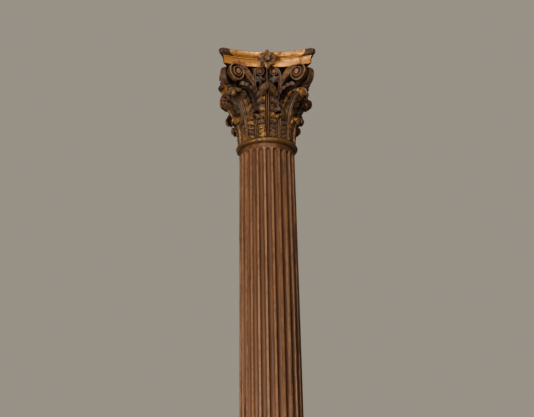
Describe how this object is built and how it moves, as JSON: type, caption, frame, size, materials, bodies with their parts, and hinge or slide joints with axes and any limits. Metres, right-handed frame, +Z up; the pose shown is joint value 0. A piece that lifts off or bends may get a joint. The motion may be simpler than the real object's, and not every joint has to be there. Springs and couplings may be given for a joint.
{
  "type": "corinthian column",
  "caption": "Fluted wooden column on a square plinth and turned base, with a carved acanthus capital, corner scrolls and a gilded hollow-sided abacus.",
  "frame": {"origin": "centre of the plinth's underside", "axes": "+Z up along the column, front face towards -Y, +X to the right seen from the front"},
  "size_m": [0.366, 0.366, 2.46],
  "materials": {
    "plinth_wood": "aged, dry, reddish brown wood with long grain and worn edges",
    "shaft_wood": "aged reddish brown wood, long grain, drying cracks, pale worn arrises",
    "astragal_gilt": "wood with dulled olive gilding, worn through in places",
    "carved_wood": "dark brown carved wood with dulled gold left on the high parts, near black in the hollows",
    "abacus_gilt": "gilded wood, orange gold, rubbed and chipped to pale ground along the edge",
    "fleuron_wood": "dark brown carved wood, rubbed to a pinkish brown on the petals"
  },
  "bodies": {
    "root": {"plinth": "plinth_wood", "base": "shaft_wood", "shaft": "shaft_wood", "astragal": "astragal_gilt", "capital": "carved_wood", "abacus": "abacus_gilt", "fleuron_front": "fleuron_wood", "fleuron_right": "fleuron_wood", "fleuron_back": "fleuron_wood", "fleuron_left": "fleuron_wood"}
  },
  "joints": []
}
